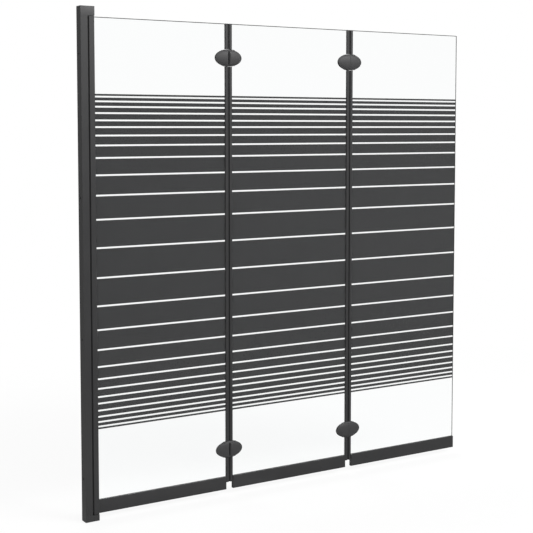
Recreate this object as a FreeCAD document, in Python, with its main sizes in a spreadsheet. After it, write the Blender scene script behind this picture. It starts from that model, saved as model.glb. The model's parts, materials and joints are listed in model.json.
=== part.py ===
import FreeCAD, Part
import os
import re
import Sketcher

# Folding bath screen: a profile on the wall, three glass panels in a row and two folding joints.
# X runs along the screen from the wall, Y away from the viewer, Z up. The origin is the foot of
# the wall face, in the middle plane of the glass. All lengths are in millimetres.

doc = FreeCAD.newDocument("FoldingBathScreen")
sheet = doc.addObject("Spreadsheet::Sheet", "size")

sizes = {
    # whole screen
    "screenWidth": 1300,
    "screenHeight": 1380,
    "panelCount": 3,
    "faceFit": 0.3,
    # wall profile
    "profileWidth": 27,
    "channelDepth": 20.3,
    "channelWall": 1.6,
    "edgeBevel": 0.5,
    "portRadius": 3.2,
    "portInset": 2.6,
    "capScrewRadius": 1.9,
    "wallHoleRadius": 2.75,
    "wallHoleInset": 100,
    "wallHoleCount": 4,
    # caps at the ends of the wall profile
    "topCapHeight": 25,
    "bottomCapHeight": 17,
    "capLength": 40,
    "capEdge": 0.8,
    "capScrewLength": 12,
    "capHeadRadius": 3.2,
    "capHeadHeight": 2.2,
    "capHeadFit": 0.3,
    # wall pivot and the profile that turns on it
    "pivotAxis": 30,
    "pivotGap": 0.5,
    "pivotPinRadius": 3,
    "pivotPinInCap": 12,
    "pivotPinInPlug": 15,
    "pivotPinFit": 0.05,
    "plugHeight": 18,
    "turnWidth": 24,
    "turnBack": 5.1,
    "turnFront": 10,
    "turnRound": 10.5,
    "turnCorner": 1.5,
    "turnBore": 5.2,
    "gasketWall": 1.2,
    "gasketLip": 0.8,
    # glass
    "glassThickness": 4,
    "glassBottom": 38,
    "glassTopDrop": 26.3,
    "cornerCut": 8.5,
    # posts on the glass edges at the joints
    "postWidth": 9,
    "postThickness": 8,
    "jointGap": 4.5,
    "postWeb": 2.05,
    "postFit": 1,
    "sealThickness": 2.4,
    # rails under the glass
    "railBottom": 17.6,
    "railHeight": 37,
    "railThickness": 10,
    "railStart": 0.3,
    "railGap": 11.5,
    "railBevel": 0.4,
    "stripThickness": 3,
    "stripDepth": 8.4,
    "stripDrop": 0.3,
    # hinge leaves, oval in front view and domed
    "hingeInset": 96,
    "ovalWidth": 86,
    "ovalHeight": 48,
    "domeWidth": 91,
    "domeHeight": 51,
    "domeRise": 8.7,
    "notchFit": 1,
    "pinOffset": 9,
    "barrelHeight": 38,
    "blockEnd": 19.3,
    "padThickness": 0.6,
    "padInset": 1,
    "clampScrewPlace": 29,
    "clampScrewSpacing": 16,
    "clampScrewRadius": 2,
    "clampHeadRadius": 3.6,
    "clampHeadHeight": 1.8,
    "clampHeadSeat": 4,
    "clampScrewReach": 4.8,
    "glassHoleRadius": 4,
    "socketRadius": 1.2,
    "socketDepth": 1.1,
    # hinge links and pins
    "linkRadius": 8.4,
    "linkFit": 0.3,
    "hingePinRadius": 2.5,
    "hingePinFit": 0.05,
    "hingePinLength": 43,
    "bushWall": 1,
    "bushLength": 10,
    # printed stripes
    "bandLowGap": 89.3,
    "bandHighGap": 82.5,
    "clearLine": 4.5,
    "printThickness": 0.15,
    "printMargin": 1,
    # how far a cutting tool runs past what it cuts
    "overrun": 2,
}
for row, (alias, amount) in enumerate(sizes.items(), start=1):
    sheet.set("A%d" % row, alias)
    sheet.set("B%d" % row, str(amount))
    sheet.setAlias("B%d" % row, alias)
doc.recompute()


# Rules for places that several pieces share, written with the names of the sheet.
pitch = "((screenWidth - pivotAxis) / panelCount)"
jointPlaces = {"1": "(pivotAxis + %s)" % pitch, "2": "(pivotAxis + 2 * %s)" % pitch}
glassTop = "(screenHeight - glassTopDrop)"
hingePlaces = {"low": "(glassBottom + hingeInset)", "high": "(%s - hingeInset)" % glassTop}
channelTop = "(screenHeight - topCapHeight)"
turnBottom = "(bottomCapHeight + pivotGap)"
turnTop = "(%s - pivotGap)" % channelTop
glassStart = "(pivotAxis + gasketWall)"
railTop = "(railBottom + railHeight)"
glassEdge = "(jointGap / 2 + postWeb)"
postEnd = "(jointGap / 2 + postWidth)"
padFace = "(glassThickness / 2 + padThickness)"
slotEnd = "(pinOffset + linkRadius + linkFit * 2)"
bandBottom = "(%s + ovalHeight / 2 + bandLowGap)" % hingePlaces["low"]
bandTop = "(%s - ovalHeight / 2 - bandHighGap)" % hingePlaces["high"]
portPlace = ("(channelWall + portInset)", "(profileWidth / 2 - channelWall - portInset)")


def rule(text):
    # Names of the sheet get the sheet's own name in front.
    return re.sub(r"[A-Za-z]\w*", lambda word: "size." + word.group() if word.group() in sizes
                  else word.group(), text)


def bind(thing, **rules):
    for name, text in rules.items():
        thing.setExpression(name, rule(text))


def put(thing, x="0", y="0", z="0"):
    for letter, text in zip("xyz", (x, y, z)):
        thing.setExpression(".Placement.Base." + letter, rule(text))
    return thing


def block(name, x, y, z, length, width, height):
    box = doc.addObject("Part::Box", name)
    bind(box, Length=length, Width=width, Height=height)
    return put(box, x, y, z)


def slab(name, x, z, length, thickness, height):
    # a block that is centred on the middle plane of the glass
    return block(name, x, "-(%s) / 2" % thickness, z, length, thickness, height)


def rod(name, x, y, z, radius, length):
    thing = doc.addObject("Part::Cylinder", name)
    bind(thing, Radius=radius, Height=length)
    return put(thing, x, y, z)


def crossRod(name, x, y, z, radius, length):
    # a rod that runs towards +Y from its place
    thing = rod(name, x, y, z, radius, length)
    thing.Placement = FreeCAD.Placement(FreeCAD.Vector(), FreeCAD.Rotation(FreeCAD.Vector(1, 0, 0), -90))
    return put(thing, x, y, z)


def boolean(kind, name, *things):
    thing = doc.addObject("Part::" + kind, name)
    if kind in ("Cut", "Common"):
        thing.Base, thing.Tool = things
    elif kind == "Compound":
        thing.Links = list(things)
    else:
        thing.Shapes = list(things)
    return thing


def cut(name, base, *tools):
    tool = tools[0] if len(tools) == 1 else boolean("Compound", name + "Tools", *tools)
    return boolean("Cut", name, base, tool)


def copy(name, source, x="0", y="0", z="0"):
    thing = doc.addObject("App::Link", name)
    thing.LinkedObject = source
    return put(thing, x, y, z)


def mirrored(name, source):
    thing = doc.addObject("Part::Mirroring", name)
    thing.Source = source
    thing.Normal = FreeCAD.Vector(1, 0, 0)
    return thing


def newBody(name, x="0", y="0", z="0"):
    return put(doc.addObject("PartDesign::Body", name), x, y, z)


def newSketch(body, plane, name):
    sketch = body.newObject("Sketcher::SketchObject", name)
    support = [f for f in body.Origin.OriginFeatures if f.Role == plane][0]
    sketch.AttachmentSupport = (support, [""])
    sketch.MapMode = "FlatFace"
    return sketch


def fix(sketch, curve, point, x, y):
    # the point's distances from the sketch's origin follow two rules
    for kind, text in (("DistanceX", x), ("DistanceY", y)):
        index = sketch.addConstraint(Sketcher.Constraint(kind, -1, 1, curve, point, 1.0))
        sketch.setExpression("Constraints[%d]" % index, rule(text))


def outline(body, plane, name, corners):
    sketch = newSketch(body, plane, name)
    count = len(corners)
    starts = [FreeCAD.Vector(i, i * i, 0) for i in range(count)]
    for i in range(count):
        sketch.addGeometry(Part.LineSegment(starts[i], starts[(i + 1) % count]))
    for i, (x, y) in enumerate(corners):
        sketch.addConstraint(Sketcher.Constraint("Coincident", i, 2, (i + 1) % count, 1))
        fix(sketch, i, 1, x, y)
    return sketch


def circles(body, plane, name, radius, centres):
    sketch = newSketch(body, plane, name)
    for i, (x, y) in enumerate(centres):
        spot = FreeCAD.Vector(i, i, 0)
        sketch.addGeometry(Part.Circle(spot, FreeCAD.Vector(0, 0, 1), 1))
        fix(sketch, i, 3, x, y)
        index = sketch.addConstraint(Sketcher.Constraint("Radius", i, 1.0))
        sketch.setExpression("Constraints[%d]" % index, rule(radius))
    return sketch


def pad(body, sketch, length):
    feature = body.newObject("PartDesign::Pad", sketch.Name + "Pad")
    feature.Profile = sketch
    bind(feature, Length=length)
    doc.recompute()
    return feature


def pocket(body, sketch, length):
    # cuts the same way as a pad grows
    feature = body.newObject("PartDesign::Pocket", sketch.Name + "Pocket")
    feature.Profile = sketch
    feature.Reversed = True
    before = body.Shape.Volume
    bind(feature, Length=length)
    doc.recompute()
    if not body.Shape.Volume < before:
        raise RuntimeError(sketch.Name + " cuts nothing")
    return feature


def fillet(body, radius, pick):
    base = body.Tip
    names = ["Edge%d" % (i + 1) for i, edge in enumerate(base.Shape.Edges) if pick(edge)]
    feature = body.newObject("PartDesign::Fillet", body.Name + "Fillet")
    feature.Base = (base, names)
    bind(feature, Radius=radius)
    doc.recompute()
    return feature


def value(alias):
    return float(sheet.get(alias))


def runsAlong(edge, letter):
    box = edge.BoundBox
    spans = {"X": box.XLength, "Y": box.YLength, "Z": box.ZLength}
    return spans[letter] > 0.99 * edge.Length


nodes = []


def node(thing, label):
    thing.Label = label
    nodes.append(thing)
    return thing


# Wall profile: a U-channel with two screw ports in its corners and a row of holes in its web.
def makeWallProfile():
    body = newBody("WallProfileBody", z="bottomCapHeight")
    half, inner = "profileWidth / 2", "(profileWidth / 2 - channelWall)"
    section = [
        ("0", "-" + half),
        ("channelDepth - edgeBevel", "-" + half),
        ("channelDepth", "-(%s - edgeBevel)" % half),
        ("channelDepth", "-" + inner),
        ("channelWall", "-" + inner),
        ("channelWall", inner),
        ("channelDepth", inner),
        ("channelDepth", "%s - edgeBevel" % half),
        ("channelDepth - edgeBevel", half),
        ("0", half),
    ]
    length = "%s - bottomCapHeight" % channelTop
    pad(body, outline(body, "XY_Plane", "ChannelSection", section), length)
    ports = [(portPlace[0], side + portPlace[1]) for side in ("-", "")]
    pad(body, circles(body, "XY_Plane", "PortSection", "portRadius", ports), length)
    pocket(body, circles(body, "XY_Plane", "PortHoles", "capScrewRadius", ports), length)
    step = "(%s - bottomCapHeight - 2 * wallHoleInset) / (wallHoleCount - 1)" % channelTop
    places = [("0", "wallHoleInset + %d * %s" % (i, step)) for i in range(int(value("wallHoleCount")))]
    pocket(body, circles(body, "YZ_Plane", "WallHoles", "wallHoleRadius", places), "channelWall")
    return node(body, "wall_profile")


# Caps: a block at each end of the wall profile that covers it and holds the pivot pin.
def makeCap(label, height, base, pinBase, headBase):
    word = label.split("_")[0]
    half = "profileWidth / 2"
    body = newBody(word + "CapBody", z=base)
    corners = [("0", "-" + half), ("capLength", "-" + half), ("capLength", half), ("0", half)]
    pad(body, outline(body, "XY_Plane", word + "CapOutline", corners), height)
    edge = value("capEdge")
    outer = 0 if word == "bottom" else value("topCapHeight")
    fillet(body, "capEdge", lambda e: e.BoundBox.XMin > edge or (
        runsAlong(e, "X") and abs(e.BoundBox.ZMin - outer) < edge))
    tools = [rod(word + "PinHole", "pivotAxis", "0", pinBase, "pivotPinRadius", "pivotPinInCap")]
    for number, turn in enumerate(("-", "")):
        y = turn + portPlace[1]
        tools.append(rod("%sScrewHole%d" % (word, number), portPlace[0], y, base + " - overrun",
                         "capScrewRadius", height + " + 2 * overrun"))
        tools.append(rod("%sHeadHole%d" % (word, number), portPlace[0], y, headBase,
                         "capHeadRadius + capHeadFit", "capHeadHeight + capHeadFit + overrun"))
    node(cut(word + "CapBored", body, *tools), label)


def makeCaps():
    makeCap("bottom_cap", "bottomCapHeight", "0", "bottomCapHeight - pivotPinInCap", "-overrun")
    makeCap("top_cap", "topCapHeight", channelTop, channelTop,
            "screenHeight - capHeadHeight - capHeadFit")


def makeCapScrews():
    screws = []
    for side in ("bottom", "top"):
        for number, turn in enumerate(("-", "")):
            y = turn + portPlace[1]
            name = "%sCapScrew%d" % (side, number)
            if side == "bottom":
                headBase = "capHeadFit"
                shankBase = "capHeadFit"
                shankLength = "bottomCapHeight - capHeadFit + capScrewLength"
                socketBase = "0"
            else:
                headBase = "screenHeight - capHeadFit - capHeadHeight"
                shankBase = channelTop + " - capScrewLength"
                shankLength = "capScrewLength + topCapHeight - capHeadFit - capHeadHeight / 2"
                socketBase = "screenHeight - capHeadFit - socketDepth"
            head = rod(name + "Head", portPlace[0], y, headBase, "capHeadRadius", "capHeadHeight")
            shank = rod(name + "Shank", portPlace[0], y, shankBase, "capScrewRadius", shankLength)
            whole = boolean("MultiFuse", name + "Whole", head, shank)
            socket = rod(name + "Socket", portPlace[0], y, socketBase, "socketRadius",
                         "socketDepth + capHeadFit")
            screws.append(cut(name, whole, socket))
    node(boolean("Compound", "CapScrews", *screws), "cap_screws")


# Wall pivot: pins pressed into the caps, plugs in the ends of the profile that turns on them.
def makePivot():
    low = rod("PivotPinLow", "pivotAxis", "0", "bottomCapHeight - pivotPinInCap", "pivotPinRadius",
              "pivotPinInCap + pivotGap + pivotPinInPlug")
    high = rod("PivotPinHigh", "pivotAxis", "0", "%s - pivotGap - pivotPinInPlug" % channelTop,
               "pivotPinRadius", "pivotPinInPlug + pivotGap + pivotPinInCap")
    node(boolean("Compound", "PivotPins", low, high), "pivot_pins")
    plugs = []
    for word, base in (("Low", turnBottom), ("High", turnTop + " - plugHeight")):
        core = rod("Plug%sCore" % word, "pivotAxis", "0", base, "turnBore", "plugHeight")
        key = slab("Plug%sKey" % word, "pivotAxis", base, "cornerCut - faceFit + gasketWall / 2",
                   "glassThickness + 2 * gasketWall", "plugHeight")
        whole = boolean("MultiFuse", "Plug%sWhole" % word, core, key)
        hole = rod("Plug%sHole" % word, "pivotAxis", "0", base + " - overrun",
                   "pivotPinRadius + pivotPinFit", "plugHeight + 2 * overrun")
        plugs.append(cut("Plug" + word, whole, hole))
    node(boolean("Compound", "PivotPlugs", *plugs), "pivot_plugs")


def makePivotProfile():
    body = newBody("PivotProfileBody", x="pivotAxis", z=turnBottom)
    half = "turnWidth / 2"
    length = "%s - %s" % (turnTop, turnBottom)
    corners = [("-turnBack", "-" + half), ("turnFront", "-" + half), ("turnFront", half),
               ("-turnBack", half)]
    pad(body, outline(body, "XY_Plane", "TurnSection", corners), length)
    fillet(body, "turnCorner", lambda e: runsAlong(e, "Z") and e.BoundBox.XMin > 0)
    pad(body, circles(body, "XY_Plane", "TurnRound", "turnRound", [("0", "0")]), length)
    pocket(body, circles(body, "XY_Plane", "TurnBore", "turnBore", [("0", "0")]), length)
    slot = "(glassThickness / 2 + gasketWall)"
    slotCorners = [("0", "-" + slot), ("turnFront + overrun", "-" + slot),
                   ("turnFront + overrun", slot), ("0", slot)]
    pocket(body, outline(body, "XY_Plane", "TurnSlot", slotCorners), length)
    node(body, "pivot_profile")


def makeGlazingGasket():
    body = newBody("GlazingGasketBody", x="pivotAxis", z=railTop + " + faceFit")
    outer, inner = "(glassThickness / 2 + gasketWall)", "glassThickness / 2"
    end = "(turnFront + gasketLip)"
    section = [("0", "-" + outer), (end, "-" + outer), (end, "-" + inner), ("gasketWall", "-" + inner),
               ("gasketWall", inner), (end, inner), (end, outer), ("0", outer)]
    length = "%s - plugHeight - %s - 2 * faceFit" % (turnTop, railTop)
    pad(body, outline(body, "XY_Plane", "GasketSection", section), length)
    node(body, "glazing_gasket")


# Hinges. One leaf is drawn at a joint's centre, reaching towards +X, and mirrored for the other
# side. Its front casting carries a barrel round the hinge pin, and a plate behind clamps the glass.
def ellipsePrism(name, width, height, depth):
    ring = doc.addObject("Part::Ellipse", name + "Ring")
    bind(ring, MajorRadius="(%s) / 2" % width, MinorRadius="(%s) / 2" % height)
    ring.Placement = FreeCAD.Placement(FreeCAD.Vector(), FreeCAD.Rotation(FreeCAD.Vector(1, 0, 0), 90))
    prism = doc.addObject("Part::Extrusion", name)
    prism.Base = ring
    prism.DirMode = "Normal"
    prism.Solid = True
    bind(prism, LengthFwd=depth, LengthRev=depth)
    return prism


def makeDome():
    dome = doc.addObject("Part::Ellipsoid", "Dome")
    bind(dome, Radius1="domeHeight / 2", Radius2="domeWidth / 2", Radius3="domeRise")
    prism = ellipsePrism("OvalPrism", "ovalWidth", "ovalHeight", "2 * domeRise")
    return boolean("Common", "OvalDome", dome, prism)


def clampRods(name, radius, start, end):
    # one rod at each clamp screw, from start to end along Y
    return [crossRod("%s%d" % (name, number), "clampScrewPlace", start,
                     sign + "clampScrewSpacing / 2", radius, "%s - (%s)" % (end, start))
            for number, sign in enumerate(("-", ""))]


def makeHingeTemplates():
    dome = makeDome()
    reach, tall = "(ovalWidth / 2 + overrun)", "ovalHeight + 2 * overrun"
    bottom = "-(ovalHeight / 2 + overrun)"
    barrel = rod("LeafBarrel", "pinOffset", "0", bottom, "pinOffset - linkFit", tall)
    beyond = block("LeafBeyond", "pinOffset", "-domeRise - overrun", bottom, reach,
                   "2 * (domeRise + overrun)", tall)
    limits = boolean("MultiFuse", "LeafLimits", barrel, beyond)
    leafRaw = boolean("Common", "LeafRaw", dome, limits)
    slotHeight = "(ovalHeight - barrelHeight) / 2 + overrun"
    slots = [block("LeafSlot%d" % number, "-overrun", "-domeRise - overrun", z, slotEnd + " + overrun",
                   "2 * (domeRise + overrun)", slotHeight)
             for number, z in enumerate(("barrelHeight / 2", bottom))]
    behind = block("LeafBehind", "blockEnd", "-" + padFace, bottom, reach, "domeRise + overrun + " + padFace,
                   tall)
    bore = rod("LeafBore", "pinOffset", "0", bottom, "hingePinRadius + hingePinFit + bushWall", tall)
    threads = clampRods("LeafThread", "clampScrewRadius", "-(clampScrewReach + linkFit)", "0")
    front = cut("LeafFront", leafRaw, *slots, behind, bore, *threads)
    back = block("PlateLimits", "blockEnd + faceFit", padFace, bottom, reach, "domeRise + overrun", tall)
    plateRaw = boolean("Common", "PlateRaw", dome, back)
    seats = clampRods("PlateSeat", "clampHeadRadius + faceFit", "clampHeadSeat", "domeRise + overrun")
    holes = clampRods("PlateHole", "clampScrewRadius", "0", "domeRise + overrun")
    plate = cut("ClampPlate", plateRaw, *seats, *holes)
    padPrism = ellipsePrism("PadPrism", "ovalWidth - 2 * padInset", "ovalHeight - 2 * padInset", padFace)
    padRoom = block("PadRoom", "blockEnd + 2 * notchFit", "-" + padFace, bottom, reach, "2 * " + padFace,
                    tall)
    padRaw = boolean("Common", "PadRaw", padPrism, padRoom)
    padGlass = slab("PadGlass", "0", bottom, reach, "glassThickness", tall)
    pads = cut("ClampPads", padRaw, padGlass,
               *clampRods("PadHole", "clampScrewRadius + faceFit", "-" + padFace + " - overrun",
                          padFace + " + overrun"))
    shanks = clampRods("ScrewShank", "clampScrewRadius", "-clampScrewReach", "clampHeadSeat + overrun / 2")
    heads = clampRods("ScrewHead", "clampHeadRadius", "clampHeadSeat", "clampHeadSeat + clampHeadHeight")
    sockets = clampRods("ScrewSocket", "socketRadius", "clampHeadSeat + clampHeadHeight - socketDepth",
                        "domeRise + overrun")
    whole = [boolean("MultiFuse", "ScrewWhole%d" % i, shanks[i], heads[i]) for i in range(2)]
    screws = boolean("Compound", "ClampScrews", *[cut("Screw%d" % i, whole[i], sockets[i])
                                                  for i in range(2)])
    bushes = []
    for number, z in enumerate(("-barrelHeight / 2", "barrelHeight / 2 - bushLength")):
        sleeve = rod("Sleeve%d" % number, "pinOffset", "0", z, "hingePinRadius + hingePinFit + bushWall",
                     "bushLength")
        hole = rod("SleeveHole%d" % number, "pinOffset", "0", z + " - overrun",
                   "hingePinRadius + hingePinFit", "bushLength + 2 * overrun")
        bushes.append(cut("Bush%d" % number, sleeve, hole))
    bushPair = boolean("Compound", "BarrelBushes", *bushes)
    return dome, {"hinge_leaf": front, "clamp_plate": plate, "clamp_gasket": pads,
                  "clamp_screws": screws, "barrel_bushes": bushPair}


def makeLinkTemplates(dome):
    # Links close the top and the bottom of the oval and hold both pins.
    links = []
    pinEnds = []
    for number, sign in enumerate((-1, 1)):
        z = "barrelHeight / 2 + linkFit" if sign > 0 else "-(ovalHeight / 2 + overrun)"
        tall = "(ovalHeight - barrelHeight) / 2 + overrun - linkFit"
        rounds = [rod("LinkRound%d%d" % (number, i), side + "pinOffset", "0", z, "linkRadius", tall)
                  for i, side in enumerate(("-", ""))]
        middle = slab("LinkMiddle%d" % number, "-pinOffset", z, "2 * pinOffset", "2 * linkRadius", tall)
        plan = boolean("MultiFuse", "LinkPlan%d" % number, middle, *rounds)
        raw = boolean("Common", "LinkRaw%d" % number, dome, plan)
        holes = [rod("LinkHole%d%d" % (number, i), side + "pinOffset", "0", "-hingePinLength / 2",
                     "hingePinRadius", "hingePinLength") for i, side in enumerate(("-", ""))]
        links.append(cut("Link%d" % number, raw, *holes))
    for i, side in enumerate(("-", "")):
        pinEnds.append(rod("HingePin%d" % i, side + "pinOffset", "0", "-hingePinLength / 2",
                           "hingePinRadius", "hingePinLength"))
    return {"hinge_links": boolean("Compound", "LinkPair", *links),
            "hinge_pins": boolean("Compound", "PinPair", *pinEnds)}


# Where each panel has its glass edge at a joint: panel, joint and the side that the leaf points to.
panelEdges = {
    "1": ("1", "1", "left"),
    "2_wall_side": ("2", "1", "right"),
    "2_free_side": ("2", "2", "left"),
    "3": ("3", "2", "right"),
}


def atHinges(name, source, joint):
    return [copy("%s_%s" % (name, level), source, jointPlaces[joint], "0", z)
            for level, z in hingePlaces.items()]


def makeHinges():
    dome, leaf = makeHingeTemplates()
    for word, source in leaf.items():
        other = mirrored(source.Name + "Mirrored", source)
        for place, (panel, joint, side) in panelEdges.items():
            name = "%s_%s" % (word, place)
            drawn = source if side == "right" else other
            node(boolean("Compound", name + "_both", *atHinges(name, drawn, joint)), name)
    for word, source in makeLinkTemplates(dome).items():
        for joint in jointPlaces:
            name = "%s_%s" % (word, joint)
            node(boolean("Compound", name + "_both", *atHinges(name, source, joint)), name)


# Glass: a sheet with an oval notch and two screw holes at each hinge, and on the wall panel a
# corner cut away for the upper pivot plug.
def makeGlass():
    prism = ellipsePrism("NotchPrism", "ovalWidth + 2 * notchFit", "ovalHeight + 2 * notchFit",
                         "glassThickness")
    room = slab("NotchRoom", "0", "-ovalHeight", "blockEnd + 2 * notchFit", "4 * glassThickness",
                "2 * ovalHeight")
    notch = boolean("Common", "NotchRaw", prism, room)
    holes = clampRods("GlassHole", "glassHoleRadius", "-glassThickness", "glassThickness")
    right = boolean("Compound", "NotchRight", notch, *holes)
    drawn = {"right": right, "left": mirrored("NotchLeft", right)}
    edges = {
        "1": (glassStart, "%s - %s" % (jointPlaces["1"], glassEdge)),
        "2": ("%s + %s" % (jointPlaces["1"], glassEdge), "%s - %s" % (jointPlaces["2"], glassEdge)),
        "3": ("%s + %s" % (jointPlaces["2"], glassEdge), "screenWidth"),
    }
    for panel, (start, end) in edges.items():
        sheetOfGlass = slab("GlassSheet" + panel, start, "glassBottom", "%s - (%s)" % (end, start),
                            "glassThickness", glassTop + " - glassBottom")
        tools = []
        for owner, joint, side in panelEdges.values():
            if owner == panel:
                tools += atHinges("Notch%s%s" % (panel, side), drawn[side], joint)
        if panel == "1":
            tools.append(slab("PlugCorner", "pivotAxis - overrun", turnTop + " - plugHeight - faceFit",
                              "cornerCut + overrun + faceFit + gasketWall", "2 * glassThickness",
                              "plugHeight + overrun + pivotGap"))
        node(cut("Glass" + panel, sheetOfGlass, *tools), "glass_" + panel)


# Printed band: dark bars on the rear face of the glass. The clear lines between them stand close
# together at the ends of the band and far apart in its middle, the same way up and down.
lineStepShares = [12.45, 14.3, 16.85, 19.3, 18.0, 22.35, 26.4, 33.25, 46.25, 54.15, 64.65, 76.35]
middleStepShare = 80.6
endLineShare = 7.35


def makePrints():
    steps = lineStepShares + [middleStepShare] + lineStepShares[::-1]
    whole = sum(steps) + 2 * endLineShare
    centres = [endLineShare + sum(steps[:i]) for i in range(len(steps) + 1)]
    lineHeights = ["%s + %.6f * (%s - %s)" % (bandBottom, centre / whole, bandTop, bandBottom)
                   for centre in centres]
    spans = {
        "1": ("pivotAxis + turnFront + gasketLip", "%s - %s" % (jointPlaces["1"], postEnd)),
        "2": ("%s + %s" % (jointPlaces["1"], postEnd), "%s - %s" % (jointPlaces["2"], postEnd)),
        "3": ("%s + %s" % (jointPlaces["2"], postEnd), "screenWidth - printMargin"),
    }
    for panel, (start, end) in spans.items():
        bars = []
        for number in range(len(centres) + 1):
            low, high = bandBottom, bandTop
            if number > 0:
                low = "%s + clearLine / 2" % lineHeights[number - 1]
            if number < len(centres):
                high = "%s - clearLine / 2" % lineHeights[number]
            bars.append(block("Bar%s_%d" % (panel, number), start, "glassThickness / 2", low,
                              "%s - (%s)" % (end, start), "printThickness", "%s - (%s)" % (high, low)))
        node(boolean("Compound", "Print" + panel, *bars), "print_" + panel)


# Posts: U-profiles pushed on the glass edges, with a rubber fin between two of them. The hinges
# interrupt both, and their ends follow the ovals.
def makePosts():
    height = glassTop + " - glassBottom"
    gap = ellipsePrism("HingeGap", "ovalWidth + 2 * postFit", "ovalHeight + 2 * postFit", "postThickness")
    half, inner, web = "postThickness / 2", "glassThickness / 2", glassEdge
    near, far = "jointGap / 2", postEnd
    corners = [
        (near, "-(%s - edgeBevel)" % half), (near + " + edgeBevel", "-" + half),
        (far + " - edgeBevel", "-" + half), (far, "-(%s - edgeBevel)" % half),
        (far, "-" + inner), (web, "-" + inner), (web, inner), (far, inner),
        (far, "%s - edgeBevel" % half), (far + " - edgeBevel", half),
        (near + " + edgeBevel", half), (near, "%s - edgeBevel" % half),
    ]
    for place, (panel, joint, side) in panelEdges.items():
        turn = "" if side == "right" else "-"
        section = [("%s(%s)" % (turn, x), y) for x, y in corners]
        body = newBody("Post" + place, jointPlaces[joint], "0", "glassBottom")
        pad(body, outline(body, "XY_Plane", "PostSection" + place, section), height)
        node(cut("PostCut" + place, body, *atHinges("PostGap" + place, gap, joint)), "edge_profile_" + place)
    for joint, place in jointPlaces.items():
        fin = slab("Fin" + joint, place + " - jointGap / 2", "glassBottom", "jointGap - faceFit",
                   "sealThickness", height)
        node(cut("FinCut" + joint, fin, *atHinges("FinGap" + joint, gap, joint)), "joint_seal_" + joint)


# Bottom rails: an H-section with the glass in its upper slot and a rubber drip strip in its lower.
def makeRails():
    spans = {
        "1": ("pivotAxis + turnFront + railStart", "%s - railGap" % jointPlaces["1"]),
        "2": ("%s + railGap" % jointPlaces["1"], "%s - railGap" % jointPlaces["2"]),
        "3": ("%s + railGap" % jointPlaces["2"], "screenWidth"),
    }
    half, glassHalf, stripHalf = "railThickness / 2", "glassThickness / 2", "stripThickness / 2"
    seat = "glassBottom - railBottom"
    halfSection = [(glassHalf, seat), (glassHalf, "railHeight"), (half + " - railBevel", "railHeight"),
                   (half, "railHeight - railBevel"), (half, "railBevel"), (half + " - railBevel", "0"),
                   (stripHalf, "0"), (stripHalf, "stripDepth")]
    section = halfSection + [("-(%s)" % y, z) for y, z in halfSection[::-1]]
    for panel, (start, end) in spans.items():
        length = "%s - (%s)" % (end, start)
        body = newBody("Rail" + panel, start, "0", "railBottom")
        pad(body, outline(body, "YZ_Plane", "RailSection" + panel, section), length)
        node(body, "bottom_rail_" + panel)
        node(slab("Strip" + panel, start, "railBottom - stripDrop", length, "stripThickness",
                  "stripDepth + stripDrop"), "drip_strip_" + panel)


makeWallProfile()
makeCaps()
makeCapScrews()
makePivot()
makePivotProfile()
makeGlazingGasket()
makeGlass()
makePrints()
makePosts()
makeRails()
makeHinges()
doc.recompute()

for thing in doc.Objects:
    if "Invalid" in thing.State or "Error" in thing.State:
        raise RuntimeError("%s has failed: %s" % (thing.Name, thing.State))
for thing in nodes:
    if thing.Shape.isNull() or not thing.Shape.isValid():
        raise RuntimeError("%s has no valid shape" % thing.Label)

os.makedirs("parts", exist_ok=True)
for thing in nodes:
    thing.Shape.exportStep("parts/%s.step" % thing.Label)
    print(thing.Label, len(thing.Shape.Solids), round(thing.Shape.Volume, 1))
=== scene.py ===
import json
import math

import bpy
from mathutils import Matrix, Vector


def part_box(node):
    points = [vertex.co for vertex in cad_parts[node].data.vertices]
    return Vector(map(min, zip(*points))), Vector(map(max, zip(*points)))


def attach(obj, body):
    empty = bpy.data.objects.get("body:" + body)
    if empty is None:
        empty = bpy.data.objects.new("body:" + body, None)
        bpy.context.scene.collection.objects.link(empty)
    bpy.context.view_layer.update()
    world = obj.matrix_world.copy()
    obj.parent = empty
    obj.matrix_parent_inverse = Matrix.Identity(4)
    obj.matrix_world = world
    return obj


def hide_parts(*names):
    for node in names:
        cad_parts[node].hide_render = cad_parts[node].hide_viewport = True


# Folding bath screen. X runs from the wall along the closed screen, Y away from the viewer, Z up.
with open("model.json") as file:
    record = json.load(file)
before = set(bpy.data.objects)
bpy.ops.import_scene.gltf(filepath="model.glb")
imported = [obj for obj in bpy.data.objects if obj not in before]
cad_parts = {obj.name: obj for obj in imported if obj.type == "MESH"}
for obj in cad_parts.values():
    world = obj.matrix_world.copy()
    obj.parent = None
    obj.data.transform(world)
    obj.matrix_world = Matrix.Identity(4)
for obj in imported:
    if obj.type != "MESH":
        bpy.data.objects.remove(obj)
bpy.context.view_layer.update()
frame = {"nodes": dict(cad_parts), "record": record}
mm = 0.001
print("frame loaded:", len(frame["nodes"]), "nodes")


# Small tools.
def hexColour(text):
    # sRGB hex to the linear colour that the shaders take
    def channel(part):
        share = int(part, 16) / 255
        return share / 12.92 if share <= 0.04045 else ((share + 0.055) / 1.055) ** 2.4
    return (channel(text[1:3]), channel(text[3:5]), channel(text[5:7]), 1.0)


def addNode(tree, kind, values=None, links=None, **settings):
    node = tree.nodes.new("ShaderNode" + kind)
    for key, value in settings.items():
        setattr(node, key, value)
    for key, value in (values or {}).items():
        node.inputs[key].default_value = value
    for key, source in (links or {}).items():
        tree.links.new(source, node.inputs[key])
    return node


def newMaterial(name):
    material = bpy.data.materials.new(name)
    material.use_nodes = True
    tree = material.node_tree
    tree.nodes.clear()
    place = addNode(tree, "TexCoord").outputs["Object"]
    return material, tree, place


def showShader(tree, shader):
    addNode(tree, "OutputMaterial", links={"Surface": shader})


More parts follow.
